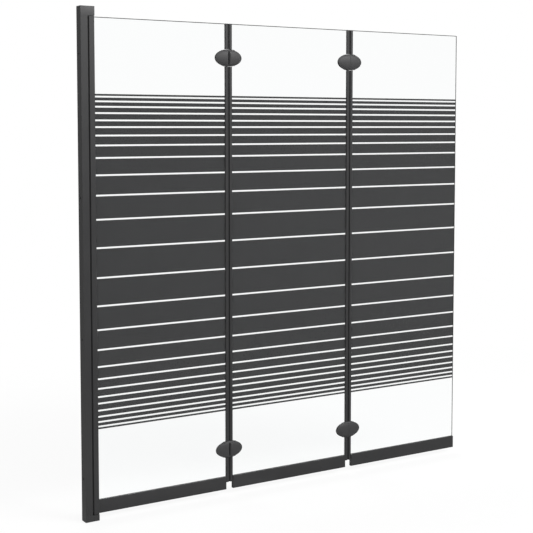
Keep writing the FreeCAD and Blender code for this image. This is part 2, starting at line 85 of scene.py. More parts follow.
def spots(tree, place, sizeAndDetail):
    size, detail = sizeAndDetail
    return addNode(tree, "TexNoise", {"Scale": 1 / size, "Detail": detail}, {"Vector": place}).outputs["Fac"]


def twoTones(tree, v, share):
    return addNode(tree, "Mix", {"A": hexColour(v["dark"]), "B": hexColour(v["light"])}, {"Factor": share},
                   data_type="RGBA").outputs["Result"]


def between(tree, ends, share):
    return addNode(tree, "MapRange", {"To Min": ends[0], "To Max": ends[1]}, {"Value": share}).outputs[0]


def relief(tree, strengthAndDepth, height):
    strength, depth = strengthAndDepth
    return addNode(tree, "Bump", {"Strength": strength, "Distance": depth}, {"Height": height}).outputs[0]


def showCoat(tree, constants, links):
    showShader(tree, addNode(tree, "BsdfPrincipled", constants, links).outputs[0])


def select(thing):
    bpy.ops.object.select_all(action="DESELECT")
    thing.select_set(True)
    bpy.context.view_layer.objects.active = thing


# Camera.
cameraValues = {
    "place": (-1.2566, -2.9216, 1.0641),
    "yaw": 32.18,      # degrees from +Y towards +X
    "pitch": 4.161,    # degrees down
    "lens": 80.31,
    "sensor": 36,
    "shiftY": -0.10,   # the horizon stands high in the picture
}


def makeCamera(v):
    data = bpy.data.cameras.new("photoCamera")
    data.lens = v["lens"]
    data.sensor_width = v["sensor"]
    data.shift_y = v["shiftY"]
    camera = bpy.data.objects.new("photoCamera", data)
    bpy.context.scene.collection.objects.link(camera)
    camera.location = v["place"]
    camera.rotation_euler = (math.radians(90 - v["pitch"]), 0, -math.radians(v["yaw"]))
    bpy.context.scene.camera = camera


makeCamera(cameraValues)
print("camera set")

# Studio.
studioValues = {
    "floorSize": 14.0,
    "floorMiddle": (0.65, 0, 0),
    "paper": {"dark": "#F4F4F4", "light": "#F8F8F8", "grain": (25 * mm, 3.0)},
    "white": "#FFFFFF",
    "floorGlow": 0.86,               # share of plain white that the eye gets, the rest shows the shadow
    "shadowReach": (1.2, 2.64),      # the floor shows its shadow up to here, and is plain white from here
    "roomLight": 0.6,
    "flagLine": (0.53, -0.85, 0.0),  # dark flags stand at both ends of this line
    "flagLight": (0.5, 0.38),        # what a shining face sees at its near and at its far end
    "flagEnd": 0.7,                  # how far along the line the flag is at its darkest
    "lamps": {
        # name: place, aim, width, height, watts
        "keyLamp": ((2.2, -3.0, 3.0), (0.5, 0.0, 1.3), 2.4, 1.0, 118),
        "fillLamp": ((-0.2, -3.4, 2.6), (0.5, 0.0, 0.9), 1.8, 1.2, 20),
        "backLamp": ((0.8, 3.2, 2.8), (0.6, 0.0, 0.8), 2.6, 1.2, 50),
    },
}


def pairOf(tree, operation, first, second):
    return addNode(tree, "Math", links={0: first, 1: second}, operation=operation).outputs[0]


def directRays(tree, rays):
    # 1 for what the eye sees, also through the glass
    return pairOf(tree, "MAXIMUM", rays.outputs["Is Camera Ray"], rays.outputs["Is Transmission Ray"])


def seenRays(tree, rays):
    # 1 for what the eye, a mirror or glass sees, 0 for light that falls on the object
    return pairOf(tree, "MAXIMUM", directRays(tree, rays), rays.outputs["Is Glossy Ray"])


def choose(tree, share, first, second):
    # a number or a socket each, the first at share 0 and the second at share 1
    ends = {2: first, 3: second}
    numbers = {key: end for key, end in ends.items() if isinstance(end, float)}
    sockets = {key: end for key, end in ends.items() if key not in numbers}
    return addNode(tree, "Mix", numbers, {0: share, **sockets}, data_type="FLOAT").outputs[0]


def mirroredRoom(tree, v, way):
    # what shines sees a white room and floor with a dark flag at each end of one line
    side = addNode(tree, "VectorMath", {1: v["flagLine"]}, {0: way}, operation="DOT_PRODUCT")
    ends = [addNode(tree, "MapRange", {"From Min": 0.0, "From Max": reach, "To Min": 1.0, "To Max": light},
                    {"Value": side.outputs["Value"]}).outputs[0]
            for reach, light in zip((v["flagEnd"], -v["flagEnd"]), v["flagLight"])]
    return pairOf(tree, "MINIMUM", *ends)


def makeFloor(v):
    bpy.ops.object.select_all(action="DESELECT")
    bpy.ops.mesh.primitive_plane_add(size=v["floorSize"], location=v["floorMiddle"])
    floor = bpy.context.object
    floor.name = "studioFloor"
    bpy.ops.object.transform_apply(location=True, rotation=True, scale=True)
    # matt white paper, lit by the lamps, with a share of plain white so that it meets the background
    material, tree, place = newMaterial("studioPaper")
    tone = twoTones(tree, v["paper"], spots(tree, place, v["paper"]["grain"]))
    paper = addNode(tree, "BsdfDiffuse", links={"Color": tone})
    spread = addNode(tree, "VectorMath", {1: v["floorMiddle"]}, {0: place}, operation="SUBTRACT")
    way = addNode(tree, "VectorMath", links={0: spread.outputs["Vector"]}, operation="NORMALIZE")
    rays = addNode(tree, "LightPath")
    strength = choose(tree, directRays(tree, rays), mirroredRoom(tree, v, way.outputs["Vector"]), 1.0)
    glow = addNode(tree, "Emission", {"Color": hexColour(v["white"])}, {"Strength": strength})
    away = addNode(tree, "VectorMath", {1: v["floorMiddle"]}, {0: place}, operation="DISTANCE")
    near, far = v["shadowReach"]
    reach = addNode(tree, "MapRange", {"From Min": near, "From Max": far, "To Min": v["floorGlow"],
                                       "To Max": 1.0}, {"Value": away.outputs["Value"]})
    share = pairOf(tree, "MULTIPLY", reach.outputs[0], seenRays(tree, rays))
    mixed = addNode(tree, "MixShader", links={0: share, 1: paper.outputs[0], 2: glow.outputs[0]})
    showShader(tree, mixed.outputs[0])
    floor.data.materials.append(material)


def makeRoom(v):
    world = bpy.data.worlds.new("studioRoom")
    bpy.context.scene.world = world
    world.use_nodes = True
    tree = world.node_tree
    tree.nodes.clear()
    rays = addNode(tree, "LightPath")
    room = mirroredRoom(tree, v, addNode(tree, "TexCoord").outputs["Generated"])
    mirrored = choose(tree, rays.outputs["Is Glossy Ray"], v["roomLight"], room)
    seen = choose(tree, directRays(tree, rays), mirrored, 1.0)
    white = addNode(tree, "Background", {"Color": hexColour(v["white"])}, {"Strength": seen})
    addNode(tree, "OutputWorld", links={"Surface": white.outputs[0]})


def makeLamps(v):
    for name, (place, aim, width, height, watts) in v["lamps"].items():
        data = bpy.data.lights.new(name, "AREA")
        data.shape = "RECTANGLE"
        data.size = width
        data.size_y = height
        data.energy = watts
        lamp = bpy.data.objects.new(name, data)
        bpy.context.scene.collection.objects.link(lamp)
        lamp.location = place
        lamp.rotation_euler = (Vector(aim) - Vector(place)).to_track_quat("-Z", "Y").to_euler()


makeFloor(studioValues)
makeRoom(studioValues)
makeLamps(studioValues)
bpy.context.scene.view_settings.view_transform = "Standard"
print("studio set")


# Materials.
# In each v: two tones, the size and detail of the spots, the two ends of the roughness and the strength
# and depth of the relief.
# Polyester powder coat on extruded aluminium: matt black, a fine orange peel, a little uneven in gloss.
def makePowderCoat():
    v = {"dark": "#1E1E1F", "light": "#252526", "peel": (1.2 * mm, 2.0), "cloud": (60 * mm, 4.0),
         "gloss": (0.42, 0.54), "relief": (0.4, 0.08 * mm), "refraction": 1.5}
    material, tree, place = newMaterial("powderCoatedAluminium")
    cloud = spots(tree, place, v["cloud"])
    peel = spots(tree, place, v["peel"])
    showCoat(tree, {"IOR": v["refraction"]},
             {"Base Color": twoTones(tree, v, cloud), "Roughness": between(tree, v["gloss"], cloud),
              "Normal": relief(tree, v["relief"], peel)})
    return material


# Moulded nylon caps: the same black, with the fine spark texture of the mould.
def makeMouldedNylon():
    v = {"dark": "#222223", "light": "#282829", "spark": 0.9 * mm, "cloud": (25 * mm, 3.0),
         "gloss": (0.46, 0.58), "relief": (0.35, 0.06 * mm), "refraction": 1.53}
    material, tree, place = newMaterial("mouldedNylon")
    spark = addNode(tree, "TexVoronoi", {"Scale": 1 / v["spark"]}, {"Vector": place}).outputs["Distance"]
    cloud = spots(tree, place, v["cloud"])
    showCoat(tree, {"IOR": v["refraction"]},
             {"Base Color": twoTones(tree, v, cloud), "Roughness": between(tree, v["gloss"], cloud),
              "Normal": relief(tree, v["relief"], spark)})
    return material


# Cast zinc with a satin black coat: a little paler than the profiles, with a soft sheen on the domes.
def makeCastZincCoat():
    v = {"dark": "#29292A", "light": "#2F2F30", "ripple": (7 * mm, 3.0), "peel": (0.8 * mm, 2.0),
         "gloss": (0.52, 0.62), "relief": (0.25, 0.05 * mm), "refraction": 1.5}
    material, tree, place = newMaterial("satinCoatedZincCasting")
    ripple = spots(tree, place, v["ripple"])
    peel = spots(tree, place, v["peel"])
    showCoat(tree, {"IOR": v["refraction"]},
             {"Base Color": twoTones(tree, v, ripple), "Roughness": between(tree, v["gloss"], ripple),
              "Normal": relief(tree, v["relief"], peel)})
    return material


# Clear toughened float glass: smooth and almost colourless, with a faint wave from the rollers.
def makeFloatGlass():
    v = {"tint": "#FEFFFF", "shadowTint": "#FBFDFC", "wave": (90 * mm, 1.0), "relief": (0.05, 0.02 * mm),
         "refraction": 1.52}
    material, tree, place = newMaterial("toughenedFloatGlass")
    wave = spots(tree, place, v["wave"])
    glass = addNode(tree, "BsdfPrincipled", {"Base Color": hexColour(v["tint"]), "Roughness": 0.0,
                                             "IOR": v["refraction"], "Transmission Weight": 1.0},
                    {"Normal": relief(tree, v["relief"], wave)})
    clear = addNode(tree, "BsdfTransparent", {"Color": hexColour(v["shadowTint"])})
    # the light that falls on what is behind passes straight through, without sparkles
    rays = addNode(tree, "LightPath")
    falling = pairOf(tree, "MAXIMUM", rays.outputs["Is Shadow Ray"], rays.outputs["Is Diffuse Ray"])
    mixed = addNode(tree, "MixShader", links={0: falling, 1: glass.outputs[0], 2: clear.outputs[0]})
    showShader(tree, mixed.outputs[0])
    return material


# The ground edge of the glass: matt from the belt. Its near-black tones and low shine are painted shade: they
# stand in for the dark line that light inside the glass gives the edge.
def makeGroundEdge():
    # dark and light are near-black painted shade, and the low specular darkens the edge line further
    v = {"dark": "#0E1110", "light": "#171B19", "scratch": (1.5 * mm, 3.0), "gloss": (0.55, 0.75),
         "refraction": 1.5, "specular": 0.2}
    material, tree, place = newMaterial("groundGlassEdgeShade")
    scratch = spots(tree, place, v["scratch"])
    showCoat(tree, {"IOR": v["refraction"], "Specular IOR Level": v["specular"]},
             {"Base Color": twoTones(tree, v, scratch), "Roughness": between(tree, v["gloss"], scratch)})
    return material


# Ceramic print fired into the rear face of the glass: a dense dark enamel, a little cloudy. Its front
# is bonded to the glass and has no surface of its own, so only its rear shines.
def makeFiredPrint():
    v = {"dark": "#2D2D2E", "light": "#323233", "cloud": (45 * mm, 4.0), "grain": (4 * mm, 2.0),
         "gloss": (0.28, 0.36), "relief": (0.08, 0.03 * mm), "refraction": 1.5, "turn": 0.5, "specular": 0.5}
    material, tree, place = newMaterial("firedCeramicPrint")
    cloud = spots(tree, place, v["cloud"])
    grain = spots(tree, place, v["grain"])
    facing = addNode(tree, "SeparateXYZ", links={0: addNode(tree, "NewGeometry").outputs["True Normal"]})
    rear = addNode(tree, "MapRange", {"From Min": -v["turn"], "From Max": v["turn"], "To Min": 0.0,
                                      "To Max": v["specular"]}, {"Value": facing.outputs["Y"]})
    showCoat(tree, {"IOR": v["refraction"]},
             {"Base Color": twoTones(tree, v, cloud), "Roughness": between(tree, v["gloss"], cloud),
              "Specular IOR Level": rear.outputs[0], "Normal": relief(tree, v["relief"], grain)})
    return material


# Black EPDM rubber: soft, dull and slightly dusty.
def makeSealRubber():
    v = {"dark": "#161617", "light": "#1E1E1F", "bloom": (9 * mm, 5.0), "grain": (0.7 * mm, 2.0),
         "gloss": (0.62, 0.8), "relief": (0.3, 0.05 * mm), "refraction": 1.48}
    material, tree, place = newMaterial("sealRubber")
    bloom = spots(tree, place, v["bloom"])
    grain = spots(tree, place, v["grain"])
    showCoat(tree, {"IOR": v["refraction"]},
             {"Base Color": twoTones(tree, v, bloom), "Roughness": between(tree, v["gloss"], bloom),
              "Normal": relief(tree, v["relief"], grain)})
    return material


# Turned stainless steel: fine rings from the lathe, drawn 0.5 mm apart so that they show.
def makeTurnedSteel():
    # a wave texture runs 20 times in its unit length
    v = {"dark": "#8E8E90", "light": "#B9B9BA", "rings": 0.5 * mm, "waves": 20, "waver": 0.4,
         "cloud": (8 * mm, 3.0), "gloss": (0.22, 0.36), "relief": (0.1, 0.02 * mm)}
    material, tree, place = newMaterial("turnedStainlessSteel")
    rings = addNode(tree, "TexWave", {"Scale": 1 / v["rings"] / v["waves"], "Distortion": v["waver"]},
                    {"Vector": place}, bands_direction="Z").outputs["Fac"]
    cloud = spots(tree, place, v["cloud"])
    showCoat(tree, {"Metallic": 1.0},
             {"Base Color": twoTones(tree, v, cloud), "Roughness": between(tree, v["gloss"], rings),
              "Normal": relief(tree, v["relief"], rings)})
    return material


materials = {
    "black_profile": makePowderCoat(),
    "black_cap": makeMouldedNylon(),
    "black_hinge": makeCastZincCoat(),
    "clear_glass": makeFloatGlass(),
    "groundEdge": makeGroundEdge(),
    "ceramic_print": makeFiredPrint(),
    "black_rubber": makeSealRubber(),
    "nylon": makeMouldedNylon(),
    "steel": makeTurnedSteel(),
}

# Every node starts with the material of its slot in the record.
for part in frame["record"]["subparts"]:
    for slot in frame["nodes"][part["node"]].material_slots:
        slot.material = materials[part["material_slot"]]
print("materials set")


# Modelling tools.
weld = 0.002 * mm     # points closer than this are one
hair = 0.01 * mm      # places closer than this are the same


def startBlock(name, low, high):
    bpy.ops.object.select_all(action="DESELECT")
    bpy.ops.mesh.primitive_cube_add(size=1, location=[(a + b) / 2 for a, b in zip(low, high)])
    block = bpy.context.object
    block.name = name
    block.scale = [b - a for a, b in zip(low, high)]
    bpy.ops.object.transform_apply(location=True, rotation=True, scale=True)
    return block


def startRod(name, place, radius, length, axis="Z", steps=48):
    turn = {"X": (0, math.pi / 2, 0), "Y": (math.pi / 2, 0, 0), "Z": (0, 0, 0)}[axis]
    bpy.ops.object.select_all(action="DESELECT")
    bpy.ops.mesh.primitive_cylinder_add(vertices=steps, radius=radius, depth=length, location=place,
                                        rotation=turn)
    rod = bpy.context.object
    rod.name = name
    bpy.ops.object.transform_apply(location=True, rotation=True, scale=True)
    return rod


def pick(piece, kind, test):
    # leaves the piece in edit mode with what passes the test selected
    select(piece)
    bpy.ops.object.mode_set(mode="EDIT")
    bpy.ops.mesh.select_mode(type=kind)
    bpy.ops.mesh.select_all(action="DESELECT")
    bpy.ops.object.mode_set(mode="OBJECT")
    items = {"VERT": piece.data.vertices, "EDGE": piece.data.edges, "FACE": piece.data.polygons}[kind]
    for item in items:
        item.select = test(item)
    bpy.ops.object.mode_set(mode="EDIT")


def leaveEdit():
    bpy.ops.object.mode_set(mode="OBJECT")


def edgeEnds(piece, edge):
    return [piece.data.vertices[i].co for i in edge.vertices]


def roundEdges(piece, width, steps, test):
    # rounds the edges whose two ends pass the test
    pick(piece, "EDGE", lambda edge: test(*edgeEnds(piece, edge)))
    bpy.ops.mesh.bevel(offset=width, segments=steps, profile=0.5, affect="EDGES")
    leaveEdit()


def useModifier(piece, kind, **settings):
    select(piece)
    modifier = piece.modifiers.new(kind.title(), kind)
    for key, value in settings.items():
        setattr(modifier, key, value)
    bpy.ops.object.modifier_apply(modifier=modifier.name)


def softenEdges(piece, width, **more):
    # a small round on all edges that turn more than the limit
    useModifier(piece, "BEVEL", width=width, segments=2, limit_method="ANGLE",
                angle_limit=math.radians(38), **more)


def carve(piece, tool, operation="DIFFERENCE"):
    useModifier(piece, "BOOLEAN", object=tool, operation=operation, solver="EXACT")
    bpy.data.objects.remove(tool, do_unlink=True)


def join(name, things):
    bpy.ops.object.select_all(action="DESELECT")
    for thing in things:
        thing.select_set(True)
    bpy.context.view_layer.objects.active = things[0]
    if len(things) > 1:
        bpy.ops.object.join()
    things[0].name = name
    return things[0]


def copyOf(piece, name, move=(0, 0, 0), mirror=False):
    select(piece)
    bpy.ops.object.duplicate(linked=False)
    twin = bpy.context.object
    twin.name = name
    if mirror:
        twin.scale = (-1, 1, 1)
    twin.location = move
    bpy.ops.object.transform_apply(location=True, rotation=True, scale=True)
    if mirror:
        outward(twin)
    return twin


def outward(piece):
    pick(piece, "FACE", lambda face: True)
    bpy.ops.mesh.remove_doubles(threshold=weld)
    bpy.ops.mesh.normals_make_consistent(inside=False)
    leaveEdit()


def smooth(piece, degrees=30):
    select(piece)
    bpy.ops.object.shade_smooth_by_angle(angle=math.radians(degrees))


def finishPiece(piece, body, nodes, slot):
    piece.data.materials.clear()
    piece.data.materials.append(materials[slot])
    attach(piece, body)
    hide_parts(*nodes)


# Hinges.
hingeValues = {
    "width": 86 * mm, "height": 48 * mm,     # the oval
    "domeWidth": 91 * mm, "rise": 8.7 * mm,  # the ellipsoid that its face follows
    "domeShares": (0.0, 0.14, 0.28, 0.42, 0.55, 0.67, 0.77, 0.86, 0.93, 0.975),
    "rim": 0.5 * mm, "rimShares": (0.3, 0.25), "softEdge": 0.35 * mm,
    "pin": 9 * mm, "barrel": 8.9 * mm, "barrelHeight": 38 * mm, "bore": 3.55 * mm,
    "slotEnd": 18 * mm, "blockEnd": 19.3 * mm, "padFace": 2.6 * mm, "plateGap": 0.3 * mm,
    "cheekGap": 0.3 * mm,    # from a leaf's square side to the middle of the joint
    "link": 8.4 * mm, "linkGap": 0.3 * mm,
    "screwPlace": 29 * mm, "screwSpacing": 16 * mm, "seat": 4 * mm, "seatRadius": 3.9 * mm,
    "headRadius": 3.6 * mm, "headHeight": 1.8 * mm, "headSoft": 0.5 * mm, "socket": 1.5 * mm,
    "socketDepth": 1.1 * mm, "shank": 2 * mm, "reach": 4.8 * mm,
    "pinRadius": 2.5 * mm, "pinLength": 43 * mm, "thread": 2 * mm, "threadDepth": 5.1 * mm,
    "steps": 80, "beyond": 2 * mm,
}


def makeLens(v):
    # half the section of the dome, drawn point by point from the front pole to the rear pole
    radius = v["width"] / 2

    def depth(r):
        return v["rise"] * math.sqrt(1 - (r / (v["domeWidth"] / 2)) ** 2)
    front = [(share * radius, -depth(share * radius)) for share in v["domeShares"]]
    rimDepth = depth(radius)
    inShare, outShare = v["rimShares"]
    front += [(radius - inShare * v["rim"], -rimDepth - outShare * v["rim"]), (radius, -rimDepth + v["rim"])]
    line = front + [(r, -y) for r, y in reversed(front)]
    bpy.ops.object.select_all(action="DESELECT")
    bpy.ops.mesh.primitive_plane_add(size=mm)
    lens = bpy.context.object
    lens.name = "hingeLens"
    bpy.ops.object.mode_set(mode="EDIT")
    bpy.ops.mesh.merge(type="CENTER")
    bpy.ops.transform.translate(value=(line[0][0], line[0][1], 0))
    for (r0, y0), (r1, y1) in zip(line, line[1:]):
        bpy.ops.mesh.extrude_vertices_move(TRANSFORM_OT_translate={"value": (r1 - r0, y1 - y0, 0)})
    bpy.ops.mesh.select_all(action="SELECT")
    bpy.ops.mesh.spin(steps=v["steps"], angle=math.tau, center=(0, 0, 0), axis=(0, 1, 0))
    bpy.ops.mesh.select_all(action="SELECT")
    bpy.ops.mesh.remove_doubles(threshold=weld)
    bpy.ops.transform.resize(value=(1, 1, v["height"] / v["width"]), center_override=(0, 0, 0))
    leaveEdit()
    outward(lens)
    return lens


def makeLeaf(v, lens, opens):
    # round where the joint folds shut, square where it opens, so that two leaves stop each other when flat
    far, deep, tall = v["width"] / 2 + v["beyond"], v["rise"] + v["beyond"], v["height"] / 2 + v["beyond"]
    limits = startBlock("leafLimits", (v["pin"], -deep, -tall), (far, deep, tall))
    carve(limits, startRod("leafBarrel", (v["pin"], 0, 0), v["barrel"], 2 * tall, steps=64), "UNION")
    front, rear = sorted((0, opens * (deep - mm)))
    carve(limits, startBlock("leafCheek", (v["cheekGap"], front, mm - tall), (v["slotEnd"], rear, tall - mm)),
          "UNION")
    leaf = copyOf(lens, "leaf")
    carve(leaf, limits, "INTERSECT")
    for low, high in ((v["barrelHeight"] / 2, tall), (-tall, -v["barrelHeight"] / 2)):
        carve(leaf, startBlock("leafSlot", (-far, -deep, low), (v["slotEnd"], deep, high)))
    carve(leaf, startBlock("leafRear", (v["blockEnd"], -v["padFace"], -tall), (far, deep, tall)))
    carve(leaf, startRod("leafBore", (v["pin"], 0, 0), v["bore"], 2 * tall, steps=32))
    for side in (-1, 1):
        place = (v["screwPlace"], 0, side * v["screwSpacing"] / 2)
        carve(leaf, startRod("thread", place, v["thread"], 2 * v["threadDepth"], "Y", 24))
    softenEdges(leaf, v["softEdge"], miter_outer="MITER_ARC")
    smooth(leaf)
    return leaf


def makePlate(v, lens):
    far, deep, tall = v["width"] / 2 + v["beyond"], v["rise"] + v["beyond"], v["height"] / 2 + v["beyond"]
    plate = copyOf(lens, "plate")
    carve(plate, startBlock("plateLimits", (v["blockEnd"] + v["plateGap"], v["padFace"], -tall),
                            (far, deep, tall)), "INTERSECT")
    for side in (-1, 1):
        place = (v["screwPlace"], v["seat"] + deep / 2, side * v["screwSpacing"] / 2)
        carve(plate, startRod("screwSeat", place, v["seatRadius"], deep, "Y"))
        carve(plate, startRod("screwHole", place, v["thread"], 4 * deep, "Y", 24))
    softenEdges(plate, v["softEdge"])
    smooth(plate)
    return plate


def makeScrew(v):
    # countersunk in the plate: a low round head with a hexagon socket, on its shank
    head = startRod("screw", (0, v["seat"] + v["headHeight"] / 2, 0), v["headRadius"], v["headHeight"], "Y")
    outer = v["seat"] + v["headHeight"] - hair
    roundEdges(head, v["headSoft"], 3, lambda a, b: a.y > outer and b.y > outer)
    carve(head, startRod("socket", (0, outer, 0), v["socket"], 2 * v["socketDepth"], "Y", 6))
    middle, span = (v["seat"] - v["reach"]) / 2, v["seat"] + v["reach"]
    carve(head, startRod("shank", (0, middle, 0), v["shank"], span, "Y", 24), "UNION")
    smooth(head)
    return head


def makeLinks(v, lens):
    deep, tall = v["link"], v["height"] / 2 + v["beyond"]
    pair = []
    for side in (-1, 1):
        ends = sorted((side * (v["barrelHeight"] / 2 + v["linkGap"]), side * tall))
        limits = startBlock("linkLimits", (-v["pin"], -deep, ends[0]), (v["pin"], deep, ends[1]))
        for x in (-v["pin"], v["pin"]):
            rounded = startRod("linkRound", (x, 0, sum(ends) / 2), v["link"], ends[1] - ends[0], steps=64)
            carve(limits, rounded, "UNION")
        link = copyOf(lens, "link")
        carve(link, limits, "INTERSECT")
        for x in (-v["pin"], v["pin"]):
            carve(link, startRod("pinHole", (x, 0, 0), v["pinRadius"], v["pinLength"], steps=32))
        pair.append(link)
    links = join("links", pair)
    softenEdges(links, v["softEdge"])
    smooth(links)
    return links


def hingePlaces(joint):
    # the two hinges of a joint, from the box of its links
    low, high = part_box("hinge_links_%s" % joint)
    half = hingeValues["height"] / 2
    return [((low[0] + high[0]) / 2, 0, low[2] + half), ((low[0] + high[0]) / 2, 0, high[2] - half)]


# Each panel edge at a joint: the panel's body, the joint and whether its leaf is turned round.
# Joint 1 opens at the rear and joint 2 at the front.
jointOpens = {"1": 1, "2": -1}
panelEdges = {
    "1": ("panel_1", "1", True),
    "2_wall_side": ("panel_2", "1", False),
    "2_free_side": ("panel_2", "2", True),
    "3": ("panel_3", "2", False),
}


def makeHinges(v):
    lens = makeLens(v)
    leaves = {joint: makeLeaf(v, lens, opens) for joint, opens in jointOpens.items()}
    plate, screw = makePlate(v, lens), makeScrew(v)
    screws = join("screws", [copyOf(screw, "screwCopy", (v["screwPlace"], 0, side * v["screwSpacing"] / 2))
                             for side in (-1, 1)])
    for word, source, slot in (("hinge_leaf", leaves, "black_hinge"), ("clamp_plate", plate, "black_hinge"),
                               ("clamp_screws", screws, "steel")):
        for place, (body, joint, turned) in panelEdges.items():
            model = source[joint] if source is leaves else source
            copies = [copyOf(model, "hingeCopy", spot, turned) for spot in hingePlaces(joint)]
            node = "%s_%s" % (word, place)
            finishPiece(join(node + "_shown", copies), body, [node], slot)
    links = makeLinks(v, lens)
    for joint in ("1", "2"):
        copies = [copyOf(links, "linkCopy", spot) for spot in hingePlaces(joint)]
        finishPiece(join("hinge_links_%s_shown" % joint, copies), "link_" + joint, ["hinge_links_" + joint],
                    "black_hinge")
    for source in (lens, *leaves.values(), plate, screw, screws, links):
        bpy.data.objects.remove(source, do_unlink=True)


makeHinges(hingeValues)
print("hinges made")

# Glass.
glassValues = {
    "pencil": 1.9 * mm,       # the edges are ground round
    "corner": 3 * mm,
    "intoPrint": 0.02 * mm,   # the print is fused into the rear face
    "flat": 0.999,            # a face whose normal lies more than this along Y is no edge
    "through": 12 * mm,       # the length of what cuts through the glass
    "notchFit": 1 * mm, "notchEnd": 21.3 * mm, "hole": 4 * mm,
    "plugRoom": 18.3 * mm, "plugEnd": 40 * mm,   # the corner cut away for the upper pivot plug
}


def ovalTool(place, fit, depth, reach=None):
    # the oval of a hinge with some room, cut off straight at the reach on both sides of the joint
    tool = startRod("ovalTool", (0, 0, 0), 1, depth, "Y", 96)
    pick(tool, "FACE", lambda face: True)
    bpy.ops.transform.resize(value=(hingeValues["width"] / 2 + fit, 1, hingeValues["height"] / 2 + fit),
                             center_override=(0, 0, 0))
    bpy.ops.transform.translate(value=place)
    leaveEdit()
    if reach:
        low = (place[0] - reach, -depth, place[2] - hingeValues["height"])
        high = (place[0] + reach, depth, place[2] + hingeValues["height"])
        carve(tool, startBlock("ovalRoom", low, high), "INTERSECT")
    return tool


def screwPlaces(v, place):
    return [(place[0] + x, 0, place[2] + z) for x in (-v["screwPlace"], v["screwPlace"])
            for z in (-v["screwSpacing"] / 2, v["screwSpacing"] / 2)]


def makeGlass(v):
    deep = v["through"]
    for panel, joints in (("1", "1"), ("2", "12"), ("3", "2")):
        low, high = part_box("glass_" + panel)
        sheet = startBlock("glass_%s_shown" % panel, low, (high[0], high[1] + v["intoPrint"], high[2]))
        roundEdges(sheet, v["corner"], 3, lambda a, b: abs(a.y - b.y) > mm)
        roundEdges(sheet, v["pencil"], 4, lambda a, b: abs(a.y - b.y) < hair)
        for joint in joints:
            for place in hingePlaces(joint):
                carve(sheet, ovalTool(place, v["notchFit"], deep, v["notchEnd"]))
                for spot in screwPlaces(hingeValues, place):
                    carve(sheet, startRod("glassHole", spot, v["hole"], deep, "Y", 40))
        if panel == "1":
            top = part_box("pivot_profile")[1][2]
            carve(sheet, startBlock("plugCorner", (low[0] - mm, -deep / 2, top - v["plugRoom"]),
                                    (v["plugEnd"], deep / 2, high[2] + mm)))
        smooth(sheet)
        finishPiece(sheet, "panel_" + panel, ["glass_" + panel], "clear_glass")
        # the rounded edge faces take the edge material with its painted shade
        sheet.data.materials.append(materials["groundEdge"])
        for face in sheet.data.polygons:
            if abs(face.normal.y) > v["flat"]:
                face.use_smooth = False
            else:
                face.material_index = 1


def makeBarePrint(v):
    # the print of the last panel ends where its bare edge begins to round
    low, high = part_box("print_3")
    band = copyOf(frame["nodes"]["print_3"], "print_3_shown")
    outward(band)
    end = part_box("glass_3")[1][0] - v["pencil"]
    room = startBlock("printRoom", [place - mm for place in low], (end, high[1] + mm, high[2] + mm))
    carve(band, room, "INTERSECT")
    finishPiece(band, "panel_3", ["print_3"], "ceramic_print")


makeGlass(glassValues)
makeBarePrint(glassValues)
print("glass made")

# Posts and rails.
postValues = {
    "slot": 2 * mm,       # half the glass
    "web": 2.05 * mm,     # between the glass edge and the joint
    "corner": 1.8 * mm,
    "fit": 0.7 * mm,      # from the oval of a hinge, which leaves the links room to turn
    "through": 20 * mm,   # the length of what cuts through a post
    "finRound": 0.9 * mm,
}


def makePosts(v):
    for place, (body, joint, turned) in panelEdges.items():
        node = "edge_profile_" + place
        low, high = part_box(node)
        post = startBlock(node + "_shown", low, high)
        roundEdges(post, v["corner"], 4, lambda a, b: abs(a.x - b.x) < mm and abs(a.y - b.y) < mm)
        slotLow = [low[0] - mm, -v["slot"], low[2] - mm]
        slotHigh = [high[0] + mm, v["slot"], high[2] + mm]
        if turned:
            slotHigh[0] = high[0] - v["web"]
        else:
            slotLow[0] = low[0] + v["web"]
        carve(post, startBlock("postSlot", slotLow, slotHigh))
        for spot in hingePlaces(joint):
            carve(post, ovalTool(spot, v["fit"], v["through"]))
        smooth(post)
        finishPiece(post, body, [node], "black_profile")
    for joint in ("1", "2"):
        node = "joint_seal_" + joint
        low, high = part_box(node)
        fin = startBlock(node + "_shown", low, high)
        roundEdges(fin, v["finRound"], 3, lambda a, b: min(a.x, b.x) > high[0] - hair and abs(a.z - b.z) > mm)
        for spot in hingePlaces(joint):
            carve(fin, ovalTool(spot, v["fit"], v["through"]))
        smooth(fin)
        finishPiece(fin, "panel_" + joint, [node], "black_rubber")


makePosts(postValues)
print("posts made")

railValues = {
    "glassSlot": 2 * mm, "seat": 20.4 * mm,      # the glass stands this high in the rail
    "stripSlot": 1.5 * mm, "stripDepth": 8.4 * mm,
    "corner": 0.6 * mm,
}


def makeRails(v):
    for panel in "123":
        node = "bottom_rail_" + panel
        low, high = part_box(node)
        rail = startBlock(node + "_shown", low, high)
        roundEdges(rail, v["corner"], 3, lambda a, b: abs(a.x - b.x) > mm)
        carve(rail, startBlock("glassSlot", (low[0] - mm, -v["glassSlot"], low[2] + v["seat"]),
                               (high[0] + mm, v["glassSlot"], high[2] + mm)))
        carve(rail, startBlock("stripSlot", (low[0] - mm, -v["stripSlot"], low[2] - mm),
                               (high[0] + mm, v["stripSlot"], low[2] + v["stripDepth"])))
        smooth(rail)
        finishPiece(rail, "panel_" + panel, [node], "black_profile")


makeRails(railValues)
print("rails made")

